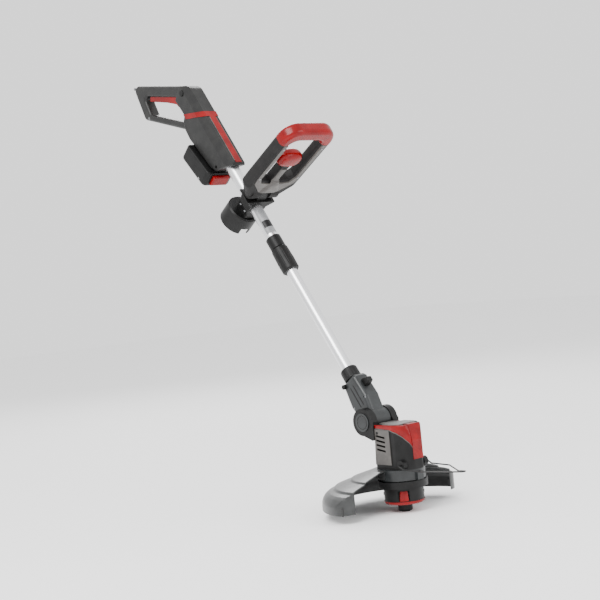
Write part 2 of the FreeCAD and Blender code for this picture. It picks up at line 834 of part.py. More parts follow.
for side in (1, -1):
    arm_hollow = [
        ((loop_opening + 5) * side, 104),
        ((loop_half - 6) * side, 104),
        ((loop_half - 6) * side, cover_start - 4),
        ((loop_opening + 5) * side, cover_start - 4),
    ]
    slab(frame, "YZ_Plane", [arm_hollow], 5 - half_thick, half_thick - 2.4, cut=True)

# Light front plate: a band on the inner edge of the loop and the middle of the foot
plate_outline = [
    (-26, 62),
    (26, 62),
    (loop_opening + 10, 92),
    (loop_opening + 13, 108),
    (loop_opening + 13, cover_start - gap),
    (loop_opening + 3, cover_start - gap),
    (loop_opening + 3, 112),
    (loop_opening - 6, 95),
    (14, 91),
    (-14, 91),
    (6 - loop_opening, 95),
    (-loop_opening - 3, 112),
    (-loop_opening - 3, cover_start - gap),
    (-loop_opening - 13, cover_start - gap),
    (-loop_opening - 13, 108),
    (-loop_opening - 10, 92),
]
front_plate = piece("handle_front_plate", LOOP)
slab(front_plate, "YZ_Plane", [plate_outline], half_thick - 2.4, half_thick + 1.2)
slab(frame, "YZ_Plane", [plate_outline], half_thick - 2.4, half_thick + 2, cut=True)
rounded(front_plate, 0.8, level(0, half_thick + 1.2))

cover = piece("handle_cover", LOOP)
slab(cover, "YZ_Plane", [loop_outer, loop_inner], -half_thick - 0.6, half_thick + 0.6)
rounded(cover, 10, level(0, half_thick + 0.6))
rounded(cover, 10, level(0, -half_thick - 0.6))
slab(cover, "YZ_Plane", [box(-90, 20, 90, cover_start)], -30, 30, cut=True)
cover_hollow = box(-(loop_half - 34), loop_height - 27, loop_half - 34, loop_height - 6)
slab(cover, "YZ_Plane", [cover_hollow], 5 - half_thick, half_thick - 4, cut=True)

handle_button = piece("handle_button", LOOP)
oval = [
    (-15, 145, 16),
    (15, 145),
    (31, 161, 16),
    (31, 172),
    (15, 188, 16),
    (-15, 188),
    (-31, 172, 16),
    (-31, 161),
]
slab(handle_button, "YZ_Plane", [oval], -13.5, 15.5)
rounded(handle_button, 6, level(0, 15.5))
rounded(handle_button, 6, level(0, -13.5))
slab(handle_button, "XY_Plane", [box(-11.5, -11.5, 11.5, 11.5)], 140, 157, cut=True)
slab(handle_button, "XY_Plane", [box(-4, -4, 4, 4)], 130, 160)

hinge_pin = piece("handle_hinge_pin", LOOP)
slab(hinge_pin, "XZ_Plane", [("circle", 0, hinge_height, hinge_pin_radius)], -40, 40)
rounded(hinge_pin, 0.8, lambda e: abs(abs(e.BoundBox.Center.y) - 40) < 0.1)

handle_screws = piece("handle_screws", LOOP)
spots = [("circle", y, z, 2.6) for y in (-(loop_opening + 8), loop_opening + 8) for z in (112, cover_start - 12)]
slab(handle_screws, "YZ_Plane", spots, half_thick + 1.2, half_thick + 2.0)

# ---------------------------------------------------------------- neck
def neck_side(label, side):
    """One half of the neck with its hub."""
    body = piece(label, SHAFT)
    low, high = mirrored(side, 0, neck_half)
    outline = [
        (10, 18),
        (45, 26),
        (neck_end - 6, 24),
        (neck_end, 20),
        (neck_end, -19),
        (50, -29),
        (10, -26),
    ]
    slab(body, "XZ_Plane", [shaft_outline(outline)], low, high)
    rounded(body, 8, lambda e: level(1, neck_half * side)(e) and e.BoundBox.XMin > -(neck_end.value + 1) + 0.5)
    slab(body, "XZ_Plane", [("circle", 0, -tube_rise, hub_radius)], low, high)
    bore = [(34, 0), (34, spigot - 3), (58, spigot + 0.3), (neck_end + 1, spigot + 0.3), (neck_end + 1, 0)]
    turned(body, shaft_outline(bore), cut=True, line="H_Axis")
    seat = [
        (neck_end - 19.4, 0),
        (neck_end - 19.4, spigot + 2.4),
        (neck_end - 14.6, spigot + 2.4),
        (neck_end - 14.6, 0),
    ]
    turned(body, shaft_outline(seat), cut=True, line="H_Axis")
    low, high = mirrored(side, 0, neck_half + 1)
    slab(body, "XZ_Plane", [("circle", 0, -tube_rise, pin_radius + slip)], low, high, cut=True)
    low, high = mirrored(side, 0, 7)
    slab(body, "XZ_Plane", [shaft_outline(box(65.6, 17.2, 82.4, 30))], low, high, cut=True)
    return body


neck_left = neck_side("neck_left", 1)
neck_right = neck_side("neck_right", -1)
slab(neck_right, "XZ_Plane", [("circle", -(neck_end - 7), -14, 5.3)], -30, -14, cut=True)

turn_button = piece("turn_button", SHAFT)
slab(turn_button, "XZ_Plane", [shaft_outline([(66, 21), (82, 21), (82, 30), (78, 42), (68, 42), (66, 36)])], -6.5, 6.5)
rounded(turn_button, 2, lambda e: e.BoundBox.Center.z > 28)

tilt_button = piece("tilt_button", SHAFT)
slab(tilt_button, "XZ_Plane", [("circle", -(neck_end - 7), -14, 5)], -25, -17)
rounded(tilt_button, 1, level(1, -25))

neck_screws = piece("neck_screws", SHAFT)
neck_spots = [(44, 20), (44, -22)]
for place in neck_spots:
    spot = [("circle", -place[0], place[1], 1.6)]
    head = [("circle", -place[0], place[1], 3)]
    slab(neck_screws, "XZ_Plane", head, -(neck_half - 2), -(neck_half - 4.5))
    slab(neck_screws, "XZ_Plane", spot, -(neck_half - 4.5), 10)
    slab(neck_right, "XZ_Plane", head, -(neck_half + 1), -(neck_half - 4.5), cut=True)
    slab(neck_right, "XZ_Plane", spot, -neck_half, 0, cut=True)
    slab(neck_left, "XZ_Plane", spot, 0, 10, cut=True)

# ---------------------------------------------------------------- head
ear_inner = neck_half + 0.8
head_plan = [
    (-head_rear, 0),
    (-head_rear, head_half - 1),
    (20, head_half),
    (38, head_half - 8),
    (head_front, 13),
    (head_front, 0),
]
head_cavity = [
    (-30, 0),
    (-30, head_half - 4),
    (18, head_half - 3),
    (34, head_half - 10),
    (head_front - 10, 11),
    (head_front - 10, 0),
]


def flipped(side, corners):
    """A plan outline on the left or mirrored to the right."""
    return [(c[0], as_size(c[1]) * side) for c in corners]


def head_side(label, side):
    """One half of the motor housing with its pivot ear and wire boss."""
    body = piece(label, UPRIGHT)
    slab(body, "XY_Plane", [flipped(side, head_plan)], head_bottom, head_top)
    rounded(body, 9, lambda e: along(2)(e) and abs(e.BoundBox.Center.y) > 5)
    rear_wedge = [
        (-head_rear - 1, head_bottom),
        (-head_rear, head_bottom),
        (10 - head_rear, head_top),
        (10 - head_rear, head_top + 1),
        (-head_rear - 1, head_top + 1),
    ]
    front_wedge = [
        (head_front, head_top - 30),
        (head_front + 1, head_top - 30),
        (head_front + 1, head_top + 1),
        (head_front - 9, head_top + 1),
        (head_front - 9, head_top),
    ]
    low, high = mirrored(side, -1, head_half + 5)
    slab(body, "XZ_Plane", [rear_wedge, front_wedge], low, high, cut=True)
    low, high = mirrored(side, ear_inner, ear_outer)
    slab(body, "XZ_Plane", [("circle", -pivot_back, pivot_height, ear_radius)], low, high)
    arm = [
        (-pivot_back, pivot_height + ear_radius - 0.4),
        (-49, pivot_height + 23.6),
        (11 - head_rear, pivot_height + 1),
        (11 - head_rear, head_top - 30),
        (6 - head_rear, head_top - 31),
        (-pivot_back, pivot_height - ear_radius + 0.4),
    ]
    slab(body, "XZ_Plane", [arm], low, high)
    slab(body, "XY_Plane", [flipped(side, head_cavity)], head_bottom + 3, head_top - 4, cut=True)
    slab(body, "XZ_Plane", [("circle", -pivot_back, pivot_height, pin_radius)], low, high, cut=True)
    low, high = mirrored(side, head_half - 8, wire_half - 5.2)
    slab(body, "XZ_Plane", [("circle", wire_hinge_x, wire_hinge_z, 9.5)], low, high)
    low, high = mirrored(side, head_half - 5, wire_half)
    slab(body, "XZ_Plane", [("circle", wire_hinge_x, wire_hinge_z, wire_radius + slip)], low, high, cut=True)
    slab(body, "XY_Plane", [("circle", 0, 0, 11)], head_bottom - 1, head_bottom + 4, cut=True)
    return body


head_left = head_side("head_housing_left", 1)
head_right = head_side("head_housing_right", -1)

for side, name in ((1, "left"), (-1, "right")):
    panel = piece("vent_panel_" + name, UPRIGHT)
    low, high = mirrored(side, head_half - 0.4, head_half + 1.6)
    outline = [
        (6 - head_rear, head_bottom + 9),
        (7, head_bottom + 9),
        (7, head_top - 10),
        (-33, head_top - 8),
    ]
    vents = []
    for number in range(4):
        foot = head_top - 54 + 9 * number
        vents.append([(-31, foot + 4), (-6, foot), (-6, foot + 4), (-31, foot + 8)])
    slab(panel, "XZ_Plane", [outline] + vents, low, high)
    body = head_left if side > 0 else head_right
    low, high = mirrored(side, head_half - 0.4, head_half + 3)
    slab(body, "XZ_Plane", [outline], low, high, cut=True)
    low, high = mirrored(side, head_half - 8, head_half + 3)
    slab(body, "XZ_Plane", vents, low, high, cut=True)

# Coloured cover: front strip over the shoulder and a band along the top
head_cover = piece("head_cover", UPRIGHT)
strip = [
    (head_front, 108),
    (head_front + 1.4, 108),
    (head_front + 1.4, head_top - 29.8),
    (head_front - 7.6, head_top + 1.4),
    (head_front - 20, head_top + 1.4),
    (head_front - 20, head_top),
    (head_front - 9, head_top),
    (head_front, head_top - 30),
]
slab(head_cover, "XZ_Plane", [strip], -13, 13)

top_cap = piece("head_top_cap", UPRIGHT)
cap_plan = [
    (-33, -18),
    (-12, -19),
    (-12, -head_half + 1),
    (18, -head_half + 1),
    (30, -head_half + 6),
    (30, head_half - 6),
    (18, head_half - 1),
    (-12, head_half - 1),
    (-12, 19),
    (-33, 18),
]
slab(top_cap, "XY_Plane", [cap_plan], head_top, head_top + 2.5)
rounded(top_cap, 1.5, level(2, head_top + 2.5))
top_cap_notch = box(29.4, -13.6, 50, 13.6)
slab(top_cap, "XY_Plane", [top_cap_notch], head_top - 1, head_top + 3, cut=True)

pivot_pin = piece("pivot_pin", UPRIGHT)
slab(pivot_pin, "XZ_Plane", [("circle", -pivot_back, pivot_height, pin_radius)], -ear_outer, ear_outer)
pivot_caps = piece("pivot_caps", UPRIGHT)
for side in (1, -1):
    low, high = mirrored(side, ear_outer, ear_outer + 1.6)
    slab(pivot_caps, "XZ_Plane", [("circle", -pivot_back, pivot_height, ear_radius - 9)], low, high)

motor = piece("motor", UPRIGHT)
motor_bottom = head_bottom + 5
slab(motor, "XY_Plane", [("circle", 0, 0, motor_radius)], motor_bottom, motor_bottom + motor_length)
rounded(motor, 2, level(2, motor_bottom + motor_length))
slab(motor, "XY_Plane", [("circle", 0, 0, 9)], motor_bottom - 5, motor_bottom)
bore_low = motor_bottom - 6
slab(motor, "XY_Plane", [("circle", 0, 0, shaft_radius + slip)], bore_low, motor_bottom + motor_length - 4, cut=True)

head_base = piece("head_base", UPRIGHT)
turned(head_base, [
    (shaft_radius + 0.3, head_bottom - 16),
    (8, head_bottom - 16),
    (8, head_bottom - 4),
    (flange_radius - 3, head_bottom - 4),
    (flange_radius - 3, flange_bottom),
    (flange_radius, flange_bottom),
    (flange_radius, head_bottom),
    (shaft_radius + 0.3, head_bottom),
])
slab(head_base, "XY_Plane", [("circle", 0, 0, 9.3)], head_bottom - 0.4, head_bottom + 1, cut=True)
slab(head_base, "YZ_Plane", [box(-8, flange_bottom, 8, head_bottom - 6)], flange_radius - 4, flange_radius + 5)

head_screws = piece("head_screws", UPRIGHT)
spots = [("circle", x, y, 2) for x, y in ((-30, 20), (-30, -20), (30, 15), (30, -15))]
heads = [("circle", x, y, 3.6) for x, y in ((-30, 20), (-30, -20), (30, 15), (30, -15))]
slab(head_screws, "XY_Plane", spots, head_bottom - 4, head_bottom + 3)
slab(head_screws, "XY_Plane", heads, head_bottom - 7, head_bottom - 4)
slab(head_base, "XY_Plane", spots, head_bottom - 5, head_bottom + 1, cut=True)
for body in (head_left, head_right):
    slab(body, "XY_Plane", spots, head_bottom - 1, head_bottom + 4, cut=True)

# ---------------------------------------------------------------- guard, blade and wire guard
guard = piece("guard", GUARD)
reach = guard_radius / 166
outer_line = [(62, 87.7), (84, 80), (121, 66.5), (139, 59), (155, 50), (164, 40), (166, 30), (166, 18)]
inner_line = [
    (166 - guard_sheet, 18),
    (166 - guard_sheet, 30),
    (161.6, 38.8),
    (153.4, 47.8),
    (137.9, 56.6),
    (120, 64),
    (83, 77.4),
    (61.5, 85.1),
]
section = [(flange_radius, head_bottom - 0.3)]
section += [(reach * r, z) for r, z in outer_line]
section += [(reach * r, z) for r, z in inner_line]
section += [(flange_radius + guard_sheet, 85.1), (flange_radius + guard_sheet, 70), (flange_radius, 70)]
turned(guard, section, angle=180)
for side in (1, -1):
    corner = [
        (reach * 136 * side, -2),
        (reach * 170 * side, -2),
        (reach * 170 * side, 30),
        (reach * 163.3 * side, 30),
        (reach * 157.5 * side, 11),
        (reach * 148 * side, 2),
    ]
    slab(guard, "XY_Plane", [corner], 0, 100, cut=True)
radial_rib = [
    (flange_radius + 2, 78),
    (flange_radius + 2, 85.5),
    (reach * 84, 77),
    (reach * 121, 63.5),
    (reach * 155, 47),
    (reach * 164, 31),
    (reach * 160, 31),
    (reach * 150, 41),
    (reach * 119, 56.5),
    (reach * 82, 70),
]
slab(guard, "YZ_Plane", [radial_rib], -1.25, 1.25)

blade = piece("cutter_blade", UPRIGHT)
blade_y = -(reach * 163.4)
slab(blade, "XZ_Plane", [[(-31, 20), (-9, 17), (-9, 34), (-31, 34)]], blade_y + 4, blade_y + 5.6)

for y in (-18, 18):
    slab(head_screws, "YZ_Plane", [("circle", y, 76.5, 2)], -(flange_radius + 4), -(flange_radius - 8))
    slab(head_screws, "YZ_Plane", [("circle", y, 76.5, 3.4)], -(flange_radius + 5), -(flange_radius + 1.5))
    slab(head_base, "YZ_Plane", [("circle", y, 76.5, 2)], -(flange_radius + 4), -(flange_radius - 9), cut=True)
    slab(guard, "XZ_Plane", [("circle", y, 76.5, 2)], flange_radius - 9, flange_radius + 4, cut=True)
    slab(guard, "XZ_Plane", [("circle", y, 76.5, 3.4)], flange_radius - 2.4, flange_radius + 6, cut=True)


def bent_wire(corners, bend, radius):
    """A round wire along straight runs joined by bends."""
    vectors = [FreeCAD.Vector(*[as_size(c).value for c in corner]) for corner in corners]
    edges = []
    start = vectors[0]
    for before, corner, after in zip(vectors, vectors[1:], vectors[2:]):
        back = (before - corner).normalize()
        ahead = (after - corner).normalize()
        half = back.getAngle(ahead) / 2
        inset = bend / math.tan(half)
        inset = min(inset, 0.45 * (before - corner).Length, 0.45 * (after - corner).Length)
        first = corner + back * inset
        last = corner + ahead * inset
        middle = corner + (back + ahead).normalize() * (inset / math.cos(half) - inset * math.tan(half))
        edges.append(Part.LineSegment(start, first).toShape())
        edges.append(Part.Arc(first, middle, last).toShape())
        start = last
    edges.append(Part.LineSegment(start, vectors[-1]).toShape())
    path = Part.Wire(edges)
    ahead = (vectors[1] - vectors[0]).normalize()
    ring = Part.Wire([Part.makeCircle(radius, vectors[0], ahead)])
    return path.makePipeShell([ring], True, False)


wire = doc.addObject("Part::Feature", "wire_guard")
wire.Label = "wire_guard"
y_end = wire_half - 9
arm_path = [
    (33, y_end, 98),
    (33, wire_half, 98),
    (45, wire_half, 91.5),
    (94, wire_half, 90),
    (150, 6, 87),
    (171, 4.5, 88),
]
full_path = arm_path + [(x, -as_size(y), z) for x, y, z in reversed(arm_path)]
wire.Shape = bent_wire(full_path, 5, wire_radius.value)
pieces.append(wire)

# ---------------------------------------------------------------- spool, hub and bump knob
motor_shaft = piece("motor_shaft", UPRIGHT)
shaft_low = disc_bottom + 1
slab(motor_shaft, "XY_Plane", [("circle", 0, 0, shaft_radius)], shaft_low, motor_bottom + motor_length - 5)

hub = piece("drive_hub", UPRIGHT)
turned(hub, [
    (shaft_radius, disc_bottom + 1),
    (0, disc_bottom + 1),
    (0, disc_bottom),
    (disc_radius, disc_bottom),
    (disc_radius, disc_top),
    (disc_radius - 2.6, disc_top),
    (disc_radius - 2.6, disc_bottom + 3),
    (8, disc_bottom + 3),
    (8, disc_top + 3),
    (shaft_radius, disc_top + 3),
])

cup = piece("spool_housing", SPOOL)
turned(cup, [
    (core_radius + 4, disc_bottom),
    (spool_radius, disc_bottom),
    (spool_radius, spool_bottom + 6),
    (spool_radius - 2.4, spool_bottom + 6),
    (spool_radius - 2.4, disc_bottom - 2.4),
    (core_radius + 4, disc_bottom - 2.4),
])
tab_window = box(-11, spool_bottom + 7, 11, disc_bottom - 5)
slab(cup, "XZ_Plane", [tab_window], spool_radius - 8, spool_radius + 1, cut=True)
slab(cup, "XZ_Plane", [tab_window], -(spool_radius + 1), 8 - spool_radius, cut=True)
slab(cup, "YZ_Plane", [("circle", 0, spool_bottom + 20, 3)], -(spool_radius + 2), spool_radius + 2, cut=True)

eyelets = piece("line_eyelets", SPOOL)
ring = [("circle", 0, spool_bottom + 20, 3), ("circle", 0, spool_bottom + 20, 1.7)]
slab(eyelets, "YZ_Plane", ring, spool_radius - 3, spool_radius + 1.2)
slab(eyelets, "YZ_Plane", ring, -(spool_radius + 1.2), 3 - spool_radius)

spool_cap = piece("spool_cap", UPRIGHT)
turned(spool_cap, [
    (knob_radius + 0.7, spool_bottom),
    (spool_radius - 2, spool_bottom),
    (spool_radius + 1, spool_bottom + 3),
    (spool_radius + 1, spool_bottom + 6),
    (spool_radius - 2.4, spool_bottom + 6),
    (spool_radius - 2.4, spool_bottom + 2.4),
    (knob_radius + 0.7, spool_bottom + 2.4),
])

for side, name in ((1, "left"), (-1, "right")):
    tab = piece("spool_tab_" + name, SPOOL)
    low, high = mirrored(side, spool_radius - 4, spool_radius + 2.5)
    slab(tab, "XZ_Plane", [box(gap - 11, spool_bottom + 7 + gap, 11 - gap, disc_bottom - 5 - gap)], low, high)
    rounded(tab, 1.5, level(1, (spool_radius + 2.5) * side))

spool = piece("spool", UPRIGHT)
turned(spool, [
    (core_radius, spool_bottom + 4),
    (spool_radius - 6, spool_bottom + 4),
    (spool_radius - 6, spool_bottom + 6),
    (core_radius + 2.5, spool_bottom + 6),
    (core_radius + 2.5, disc_bottom - 6),
    (spool_radius - 6, disc_bottom - 6),
    (spool_radius - 6, disc_bottom - 4),
    (core_radius, disc_bottom - 4),
])
line = piece("cutting_line", UPRIGHT)
turned(line, [
    (core_radius + 2.5, spool_bottom + 6.2),
    (spool_radius - 10, spool_bottom + 6.2),
    (spool_radius - 9, spool_bottom + 12),
    (spool_radius - 10, spool_bottom + 17),
    (spool_radius - 9, spool_bottom + 22),
    (spool_radius - 10, disc_bottom - 6.2),
    (core_radius + 2.5, disc_bottom - 6.2),
])

knob = piece("bump_knob", UPRIGHT)
turned(knob, [
    (0, 0),
    (knob_radius - 4, 0),
    (knob_radius - 1.4, 1.4),
    (knob_radius, 4),
    (knob_radius, spool_bottom),
    (core_radius - 0.4, spool_bottom),
    (core_radius - 0.4, spool_bottom + 13),
    (0, spool_bottom + 13),
])

spring = doc.addObject("Part::Feature", "bump_spring")
spring.Label = "bump_spring"
coil_low = (spool_bottom + 13.7).value
coil_high = disc_bottom.value - 0.7
coil_radius = core_radius.value - 3.5
turns = 4
steps = 8
coil = []
for number in range(turns * steps + 1):
    angle = 2 * math.pi * number / steps
    rise = coil_low + (coil_high - coil_low) * number / (turns * steps)
    coil.append((coil_radius * math.cos(angle), coil_radius * math.sin(angle), rise))
spring.Shape = bent_wire(coil, 2 * coil_radius, 0.6)
pieces.append(spring)

# ---------------------------------------------------------------- check and write
doc.recompute()
os.makedirs("parts", exist_ok=True)
for item in doc.Objects:
    if "Invalid" in item.State or "Error" in item.State:
        raise RuntimeError("%s is %s" % (item.Label, item.State))
for body in pieces:
    shape = body.Shape
    if shape.isNull() or not shape.isValid() or not shape.Solids:
        raise RuntimeError("bad shape " + body.Label)
    shape.exportStep("parts/%s.step" % body.Label)
    box_now = shape.BoundBox
    print(
        "%-22s %2d solids %9.0f mm3  x %7.1f %7.1f  y %6.1f %6.1f  z %7.1f %7.1f"
        % (
            body.Label,
            len(shape.Solids),
            shape.Volume,
            box_now.XMin,
            box_now.XMax,
            box_now.YMin,
            box_now.YMax,
            box_now.ZMin,
            box_now.ZMax,
        )
    )
print(len(pieces), "pieces written")
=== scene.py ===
import math

import bmesh
import bpy
import numpy as np
from mathutils import Matrix, Vector


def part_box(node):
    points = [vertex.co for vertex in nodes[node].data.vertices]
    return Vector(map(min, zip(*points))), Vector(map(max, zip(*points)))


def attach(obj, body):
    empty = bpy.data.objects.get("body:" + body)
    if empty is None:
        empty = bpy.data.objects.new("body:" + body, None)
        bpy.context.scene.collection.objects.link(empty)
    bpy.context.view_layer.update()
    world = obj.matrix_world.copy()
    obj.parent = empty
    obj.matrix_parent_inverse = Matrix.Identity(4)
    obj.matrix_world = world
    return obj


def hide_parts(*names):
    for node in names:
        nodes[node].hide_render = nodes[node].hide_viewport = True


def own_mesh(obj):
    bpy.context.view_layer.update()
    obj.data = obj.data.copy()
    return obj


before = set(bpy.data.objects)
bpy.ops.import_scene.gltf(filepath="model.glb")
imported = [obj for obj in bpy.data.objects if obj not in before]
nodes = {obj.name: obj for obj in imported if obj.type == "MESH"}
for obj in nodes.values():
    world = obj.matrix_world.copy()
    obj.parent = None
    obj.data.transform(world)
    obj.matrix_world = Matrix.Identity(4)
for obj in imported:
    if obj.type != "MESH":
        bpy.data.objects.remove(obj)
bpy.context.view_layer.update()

MM = 0.001

# How far the shaft and the loop handle rise from level, and the directions that follow.
LEAN = math.radians(55)
LOOP_LEAN = math.radians(30)
DOWN_SHAFT = np.array([math.cos(LEAN), 0.0, -math.sin(LEAN)])
SIDE = np.array([0.0, 1.0, 0.0])
OFF_SHAFT = np.array([math.sin(LEAN), 0.0, math.cos(LEAN)])
UP_LOOP = np.array([math.cos(LOOP_LEAN), 0.0, 0.5])
OUT_LOOP = np.array([0.5, 0.0, -math.cos(LOOP_LEAN)])
UPWARD = np.array([0.0, 0.0, 1.0])
SIDES = ((1, "left"), (-1, "right"))
# The hinge pin's height along the loop, in millimetres from the loop's own origin.
HINGE_HEIGHT = 49


# ---------------------------------------------------------------- camera, floor and light
def place_camera():
    """A long lens half a metre up, ahead and to the right of the trimmer, almost level."""
    data = bpy.data.cameras.new("camera")
    data.lens = 81.1
    data.sensor_width = 36.0
    camera = bpy.data.objects.new("camera", data)
    bpy.context.scene.collection.objects.link(camera)
    right = Vector((0.64377, 0.75887, -0.09838))
    up = Vector((0.04528, 0.09056, 0.99486))
    back = right.cross(up).normalized()
    turn = Matrix((right, up, back)).transposed().to_4x4()
    camera.matrix_world = Matrix.Translation((1.9522, -1.8702, 0.5056)) @ turn
    bpy.context.scene.camera = camera


def area_light(name, place, target, size, watts):
    """One soft square light that faces a point."""
    data = bpy.data.lights.new(name, "AREA")
    data.shape = "SQUARE"
    data.size = size
    data.energy = watts
    light = bpy.data.objects.new(name, data)
    aim = (Vector(target) - Vector(place)).to_track_quat("-Z", "Y")
    light.matrix_world = Matrix.Translation(place) @ aim.to_matrix().to_4x4()
    bpy.context.scene.collection.objects.link(light)


def srgb(code):
    """A hex colour as linear red, green, blue and alpha."""
    parts = [int(code[i:i + 2], 16) / 255 for i in (1, 3, 5)]
    linear = [c / 12.92 if c <= 0.04045 else ((c + 0.055) / 1.055) ** 2.4 for c in parts]
    return (*linear, 1.0)


def add_node(tree, kind, inputs=None, **settings):
    """Add a shader node; an input is a value, or another node's output to link."""
    node = tree.nodes.new(kind)
    for key, value in settings.items():
        setattr(node, key, value)
    for key, value in (inputs or {}).items():
        if isinstance(value, bpy.types.NodeSocket):
            tree.links.new(value, node.inputs[key])
        else:
            node.inputs[key].default_value = value
    return node


def make_stage():
    """A wide, flat, pale floor, a white world and three soft lights."""
    world = bpy.data.worlds.new("studio")
    world.use_nodes = True
    background = world.node_tree.nodes["Background"]
    background.inputs["Color"].default_value = srgb("#ffffff")
    background.inputs["Strength"].default_value = 1.5
    bpy.context.scene.world = world
    mesh = bpy.data.meshes.new("floor")
    reach = 8.0
    corners = [(-reach, -reach, 0), (reach, -reach, 0), (reach, reach, 0), (-reach, reach, 0)]
    mesh.from_pydata(corners, [], [(0, 1, 2, 3)])
    floor = bpy.data.objects.new("floor", mesh)
    bpy.context.scene.collection.objects.link(floor)
    material = bpy.data.materials.new("matt_white_floor")
    material.use_nodes = True
    shader = material.node_tree.nodes["Principled BSDF"]
    shader.inputs["Base Color"].default_value = srgb("#fafafa")
    shader.inputs["Roughness"].default_value = 0.9
    mesh.materials.append(material)
    area_light("key", (0.6, -2.2, 2.6), (-0.3, 0, 0.5), 1.6, 110)
    area_light("fill", (2.6, 0.8, 1.6), (-0.3, 0, 0.4), 1.8, 40)
    area_light("rim", (-2.4, 1.4, 2.2), (-0.3, 0, 0.5), 1.4, 45)


# ---------------------------------------------------------------- materials
def start_material(name):
    """An empty material with its shader, output and object coordinates."""
    material = bpy.data.materials.new(name)
    material.use_nodes = True
    tree = material.node_tree
    tree.nodes.clear()
    shader = add_node(tree, "ShaderNodeBsdfPrincipled")
    add_node(tree, "ShaderNodeOutputMaterial", {"Surface": shader.outputs["BSDF"]})
    coordinates = add_node(tree, "ShaderNodeTexCoord")
    return material, tree, shader, coordinates.outputs["Object"]


def two_tone(tree, shader, value, dark, light, dark_until, light_from):
    """Colour the shader from dark to light as a noise value rises."""
    ramp = add_node(tree, "ShaderNodeValToRGB", {"Fac": value})
    low, high = ramp.color_ramp.elements
    low.position = dark_until
    low.color = srgb(dark)
    high.position = light_from
    high.color = srgb(light)
    tree.links.new(ramp.outputs["Color"], shader.inputs["Base Color"])


def rough_and_bumped(tree, shader, value, smoothest, roughest, strength, depth_mm):
    """Let one noise value drive both the roughness and a shallow bump."""
    rough = add_node(
        tree,
        "ShaderNodeMapRange",
        {"Value": value, "To Min": smoothest, "To Max": roughest},
    )
    tree.links.new(rough.outputs["Result"], shader.inputs["Roughness"])
    bump = add_node(
        tree,
        "ShaderNodeBump",
        {"Height": value, "Strength": strength, "Distance": depth_mm * MM},
    )
    tree.links.new(bump.outputs["Normal"], shader.inputs["Normal"])


CLOUD_MM = 22.0
PLASTIC_IOR = 1.5


def moulded(name, dark, light, roughness, grain_mm, depth_mm, coat=0.0, sheen=0.25):
    """Moulded plastic: spark-eroded grain and a slow, cloudy change of colour."""
    material, tree, shader, place = start_material(name)
    cloud = add_node(
        tree,
        "ShaderNodeTexNoise",
        {"Vector": place, "Scale": 1 / (CLOUD_MM * MM), "Detail": 4.0},
    )
    grain = add_node(
        tree,
        "ShaderNodeTexNoise",
        {"Vector": place, "Scale": 1 / (grain_mm * MM), "Detail": 2.0},
    )
    two_tone(tree, shader, cloud.outputs["Fac"], dark, light, 0.38, 0.72)
    rough_and_bumped(
        tree, shader, grain.outputs["Fac"], roughness - 0.06, roughness + 0.08, 0.35, depth_mm
    )
    shader.inputs["IOR"].default_value = PLASTIC_IOR
    shader.inputs["Specular IOR Level"].default_value = sheen
    shader.inputs["Coat Weight"].default_value = coat
    shader.inputs["Coat Roughness"].default_value = 0.12
    return material


def drawn_tube(name, dark, light, roughness):
    """Drawn metal: fine lines along the shaft, a noise stretched 225 times that way."""
    material, tree, shader, place = start_material(name)
    turned = add_node(tree, "ShaderNodeMapping", {"Vector": place, "Rotation": (0, -LEAN, 0)})
    stretched = add_node(
        tree,
        "ShaderNodeMapping",
        {"Vector": turned.outputs["Vector"], "Scale": (4.0, 900.0, 900.0)},
    )
    lines = add_node(
        tree,
        "ShaderNodeTexNoise",
        {"Vector": stretched.outputs["Vector"], "Scale": 1.0, "Detail": 3.0},
    )
    two_tone(tree, shader, lines.outputs["Fac"], dark, light, 0.35, 0.7)
    rough_and_bumped(
        tree, shader, lines.outputs["Fac"], roughness - 0.05, roughness + 0.08, 0.1, 0.02
    )
    shader.inputs["Metallic"].default_value = 1.0
    return material


